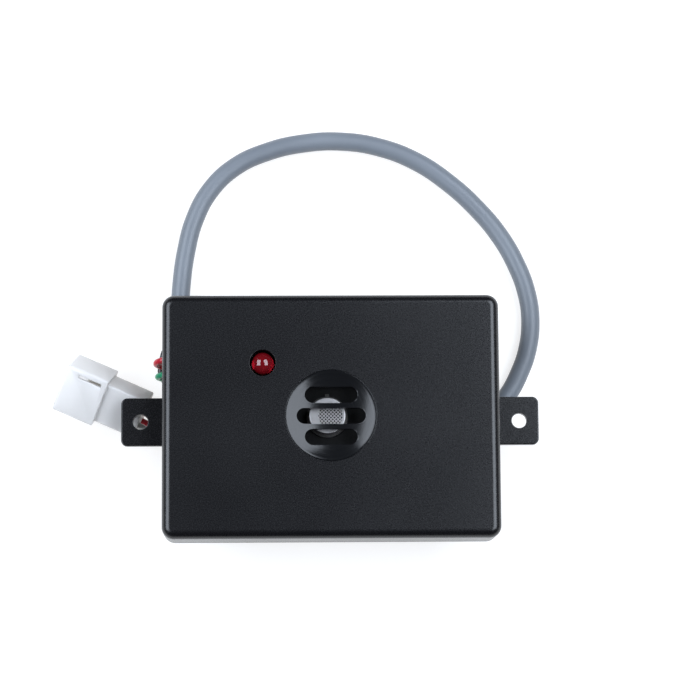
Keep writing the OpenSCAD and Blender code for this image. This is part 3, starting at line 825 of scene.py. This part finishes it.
def lensMaterial():
    # red epoxy, clear enough to show the anvil and post inside
    p = lamp
    material, tree, shader = newMaterial("lampRed", IOR=1.52, Transmission_Weight=p["clear"],
                                         Coat_Weight=p["coat"],
                                         Coat_Roughness=p["coatRoughness"])
    where = objectSpace(tree)
    tint(tree, shader, grain(tree, where, p["cloud"], 2), *p["tones"])
    dull(tree, shader, grain(tree, where, p["haze"], 2), *p["roughness"])
    relief(tree, shader, grain(tree, where, p["ripple"], 1), p["rippleDepth"])
    return material


makeLens(lensMaterial())
print("lamp built")


# White connector

connector = {
    "at": (-42.6, 2.6, 7.2), "turn": 156, "roll": -24, "length": 19.4,
    "core": (9.4, 8.6), "hood": (11.4, 10.6), "hoodFrom": 9.6, "webTo": 11.2, "skin": 1,
    "pitch": 4.2, "wireBore": 1.1, "wireBoreDepth": 3, "pin": 0.8, "pinFrom": 3.2, "pinTo": 15,
    "latchX": 13.6, "latchY": -4, "latchSize": (5.6, 0.8), "latchDeep": 1.5,
    "edge": 0.35, "coreRound": 0.5, "hoodRound": 0.6, "mouthRound": 0.4,
    "hoodEdge": 0.2, "hoodBreak": 0.06, "mouthEdge": 0.25, "cutRound": 0.12,
    "pinRing": 3, "pinRingDepth": 0.1, "pinTip": 0.7, "pinPlay": 0.03,
}


def connectorFrame():
    # it lies at an angle on the table and is rolled about its own length
    c = connector
    return (Matrix.Translation(Vector(c["at"]) * mm)
            @ Matrix.Rotation(math.radians(c["turn"]), 4, "Z")
            @ Matrix.Rotation(math.radians(c["roll"]), 4, "X"))


def alongX(bm):
    # turns what was built along Z to lie along the connector's X, its outline's x to Y and y to Z
    turn = Matrix(((0, 0, 1, 0), (1, 0, 0, 0), (0, 1, 0, 0), (0, 0, 0, 1)))
    bmesh.ops.transform(bm, matrix=connectorFrame() @ turn, verts=bm.verts)


def circuits():
    # the four positions, two by two
    half = connector["pitch"] / 2
    return [(y * half, z * half) for y in (-1, 1) for z in (-1, 1)]


def makeConnector(material):
    c = connector
    bm = bmesh.new()

    def around(size, inset, radius):
        return roundRect(size[0] - 2 * inset, size[1] - 2 * inset, radius, 5)

    def core(inset):
        return around(c["core"], inset, c["coreRound"])

    def hood(inset):
        return around(c["hood"], inset, c["hoodRound"])

    def mouth(inset):
        return around(c["hood"], inset, c["mouthRound"])

    start, end, web = c["hoodFrom"], c["length"], c["webTo"]
    edge, nick, skin = c["hoodEdge"], c["hoodBreak"], c["skin"]
    rings = [(core(inset), rise) for inset, rise in quarterRound(c["edge"])]
    rings += [(core(0), start), (hood(edge), start), (hood(nick), start + nick),
              (hood(0), start + edge), (hood(0), end - edge), (hood(nick), end - nick),
              (hood(edge), end), (mouth(skin - edge), end), (mouth(skin), end - c["mouthEdge"]),
              (mouth(skin), web)]
    loops = loft(bm, rings)
    bm.faces.new(loops[0][::-1])
    bm.faces.new(loops[-1])
    alongX(bm)
    piece = makePiece("connectorBody", bm, material, 40)
    bore, depth, tight = c["wireBore"], c["wireBoreDepth"], c["pin"] + c["pinPlay"]
    for spot in circuits():
        cutter = bmesh.new()
        lathe(cutter, [(0, -1), (bore, -1), (bore, depth), (tight, depth), (tight, web + 1),
                       (0, web + 1)], spot, 32, closed=False)
        alongX(cutter)
        cutAway(piece, cutter)
    cutter = bmesh.new()
    long, wide = c["latchSize"]
    outline = [(c["latchY"] + wide / 2 * i, c["hood"][1] / 2 + j * c["latchDeep"])
               for i, j in ((-1, -1), (1, -1), (1, 1), (-1, 1))]
    loops = loft(cutter, [(outline, c["latchX"] - long / 2), (outline, c["latchX"] + long / 2)])
    cutter.faces.new(loops[0][::-1])
    cutter.faces.new(loops[1])
    alongX(cutter)
    cutAway(piece, cutter)
    softenEdges(piece, c["cutRound"], 2)
    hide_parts("connector_housing")
    return piece


def makePins(material):
    c = connector
    bm = bmesh.new()
    # a shallow ring is rolled round each contact near its tip
    start, end, dip = c["pinFrom"], c["pinTo"], c["pinRingDepth"]
    ring = end - c["pinRing"]
    profile = roundedProfile([
        (0, start, 0), (c["pin"], start, 0.1), (c["pin"], ring - 2 * dip, 0),
        (c["pin"] - dip, ring - dip, 0), (c["pin"] - dip, ring + dip, 0),
        (c["pin"], ring + 2 * dip, 0), (c["pin"], end, c["pinTip"]), (0, end, 0)], 6)
    for spot in circuits():
        lathe(bm, profile, spot, 28, closed=False)
    alongX(bm)
    piece = makePiece("connectorContacts", bm, material)
    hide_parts("connector_pins")
    return piece


nylon = {
    "tones": ((0.6, 0.585, 0.57), (0.66, 0.645, 0.63)), "roughness": (0.3, 0.42),
    "milky": 0.8, "milkyDepth": 3, "cloud": 5, "grain": 0.3, "grainDepth": 0.006,
}


def nylonMaterial():
    # natural nylon: milky, a little light passes through its thin walls
    material, tree, shader = newMaterial("connectorNylon", IOR=1.53,
                                         Subsurface_Weight=nylon["milky"],
                                         Subsurface_Scale=nylon["milkyDepth"] * mm,
                                         Subsurface_Radius=(1, 1, 1))
    where = objectSpace(tree)
    cloud = grain(tree, where, nylon["cloud"], 3)
    tint(tree, shader, cloud, *nylon["tones"])
    dull(tree, shader, cloud, *nylon["roughness"])
    relief(tree, shader, grain(tree, where, nylon["grain"], 3), nylon["grainDepth"])
    return material


connectorBody = makeConnector(nylonMaterial())
connectorContacts = makePins(metal("pinTin", (0.68, 0.66, 0.61), 0.28))
print("connector built")


# Finishes of the carried-over inner parts

coated = {"vary": 0.05, "grainDepth": 0.004}


def glossy(name, dark, light, roughness, size=1.2):
    # smooth coats, glazes and mouldings, uneven over patches of this size
    material, tree, shader = newMaterial(name, IOR=1.5)
    where = objectSpace(tree)
    tint(tree, shader, grain(tree, where, size, 3), dark, light)
    fine = grain(tree, where, size / 5, 3)
    dull(tree, shader, fine, roughness - coated["vary"], roughness + coated["vary"])
    relief(tree, shader, fine, coated["grainDepth"])
    return material


tinned = metal("tinned", (0.72, 0.72, 0.73), 0.3)
plated = metal("screwPlate", (0.62, 0.62, 0.64), 0.3, 0.2, 0.004)
blackMoulding = mouldedPlastic("blackMoulding", (0.01, 0.01, 0.01), (0.018, 0.018, 0.018), 0.5)
creamNylon = glossy("creamNylon", (0.74, 0.7, 0.6), (0.82, 0.78, 0.68), 0.4)
nodeFinishes = {
    "housing_gasket": rubber("gasketRubber", (0.012, 0.012, 0.012), (0.02, 0.02, 0.02), 0.7),
    "cover_screws": plated,
    "board_screws": plated,
    "circuit_board": glossy("boardGreen", (0.008, 0.09, 0.04), (0.014, 0.13, 0.055), 0.3, 2.5),
    # the near-black pad under the sensor paints the shade around the sensor; it stands in for
    # that shade, not for a known foam
    "sensor_pad": rubber("padPaintedShade", (0.0025, 0.0025, 0.0025), (0.006, 0.006, 0.006), 0.9, 0.5),
    # the sensor header is steel, its colour darkened far below steel to paint the shade that
    # falls on it under the guard
    "sensor_base": metal("headerSteelPaintedShade", (0.07, 0.068, 0.065), 0.34),
    "sensor_pins": metal("dullPins", (0.1, 0.1, 0.095), 0.4),
    "sensing_element": glossy("bead", (0.03, 0.028, 0.026), (0.05, 0.048, 0.045), 0.6, 0.5),
    "lamp_leadframe": tinned,
    "lamp_spacer": blackMoulding,
    "comparator_chip": blackMoulding,
    "chip_legs": tinned,
    "voltage_regulator": blackMoulding,
    "electrolytic_capacitor": glossy("capSleeve", (0.012, 0.018, 0.08), (0.02, 0.028, 0.11), 0.3),
    "ceramic_capacitors": glossy("discOrange", (0.5, 0.22, 0.04), (0.62, 0.3, 0.07), 0.35),
    "resistors": glossy("resistorTan", (0.52, 0.4, 0.24), (0.62, 0.5, 0.32), 0.35),
    "diode": glossy("diodeGlass", (0.4, 0.1, 0.03), (0.5, 0.14, 0.05), 0.15),
    "component_leads": tinned,
    "trimmer_body": glossy("trimmerBlue", (0.02, 0.07, 0.36), (0.035, 0.1, 0.46), 0.35),
    "trimmer_rotor": glossy("trimmerWhite", (0.76, 0.75, 0.7), (0.86, 0.85, 0.8), 0.4),
    "board_header": creamNylon,
    "header_pins": tinned,
    "header_plug": creamNylon,
    "inner_wires": glossy("innerWire", (0.24, 0.03, 0.03), (0.34, 0.05, 0.05), 0.3),
    "cable_tie": mouldedPlastic("tieNylon", (0.02, 0.02, 0.02), (0.03, 0.03, 0.03), 0.45),
}


def finishNodes():
    for name, material in nodeFinishes.items():
        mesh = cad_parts[name].data
        mesh.materials.clear()
        mesh.materials.append(material)


finishNodes()
print("inner parts finished")


# Floor and light

studio = {
    "floorSize": 12, "floor": (0.35, 0.35, 0.35), "floorVary": 0.97, "floorCloud": 60,
    "floorRoughness": 0.6, "floorUnder": 0.02, "glow": 0.75, "sky": 0.03,
    # softboxes: degrees from straight up towards +X and +Y; floor size, distance and size in m
    "right": {"lean": 32, "back": 9, "distance": 0.8, "size": (0.84, 0.5), "power": 7.6},
    "left": {"lean": -42, "back": 9, "distance": 0.8, "size": (0.8, 0.5), "power": 7.2},
    "lightColour": (0.9, 0.98, 1.1),
}


def makeFloor():
    bm = bmesh.new()
    half = studio["floorSize"] / 2
    corners = [bm.verts.new((x * half, y * half, -studio["floorUnder"] * mm))
               for x, y in ((-1, -1), (1, -1), (1, 1), (-1, 1))]
    bm.faces.new(corners)
    mesh = bpy.data.meshes.new("tableTop")
    bm.to_mesh(mesh)
    bm.free()
    material, tree, shader = newMaterial("tableWhite", Roughness=studio["floorRoughness"])
    light = studio["floor"]
    dark = tuple(c * studio["floorVary"] for c in light)
    tint(tree, shader, grain(tree, objectSpace(tree), studio["floorCloud"], 2), dark, light)
    shader.inputs["Emission Color"].default_value = (1, 1, 1, 1)
    shader.inputs["Emission Strength"].default_value = studio["glow"]
    mesh.materials.append(material)
    floor = bpy.data.objects.new("tableTop", mesh)
    bpy.context.scene.collection.objects.link(floor)


def makeSoftbox(name):
    s = studio[name]
    lean, back = math.radians(s["lean"]), math.radians(s["back"])
    direction = Vector((math.tan(lean), math.tan(back), 1)).normalized()
    data = bpy.data.lights.new(name + "Softbox", "AREA")
    data.shape = "RECTANGLE"
    data.size, data.size_y = s["size"]
    data.energy = s["power"]
    data.color = studio["lightColour"]
    light = bpy.data.objects.new(name + "Softbox", data)
    bpy.context.scene.collection.objects.link(light)
    light.location = direction * s["distance"]
    light.rotation_mode = "QUATERNION"
    light.rotation_quaternion = direction.to_track_quat("Z", "Y")


def makeSky():
    world = bpy.data.worlds.new("studio")
    bpy.context.scene.world = world
    world.use_nodes = True
    level = studio["sky"]
    world.node_tree.nodes["Background"].inputs["Color"].default_value = (level, level, level, 1)


makeFloor()
makeSoftbox("left")
makeSoftbox("right")
makeSky()
bpy.context.scene.view_settings.view_transform = "Standard"
print("studio lit")
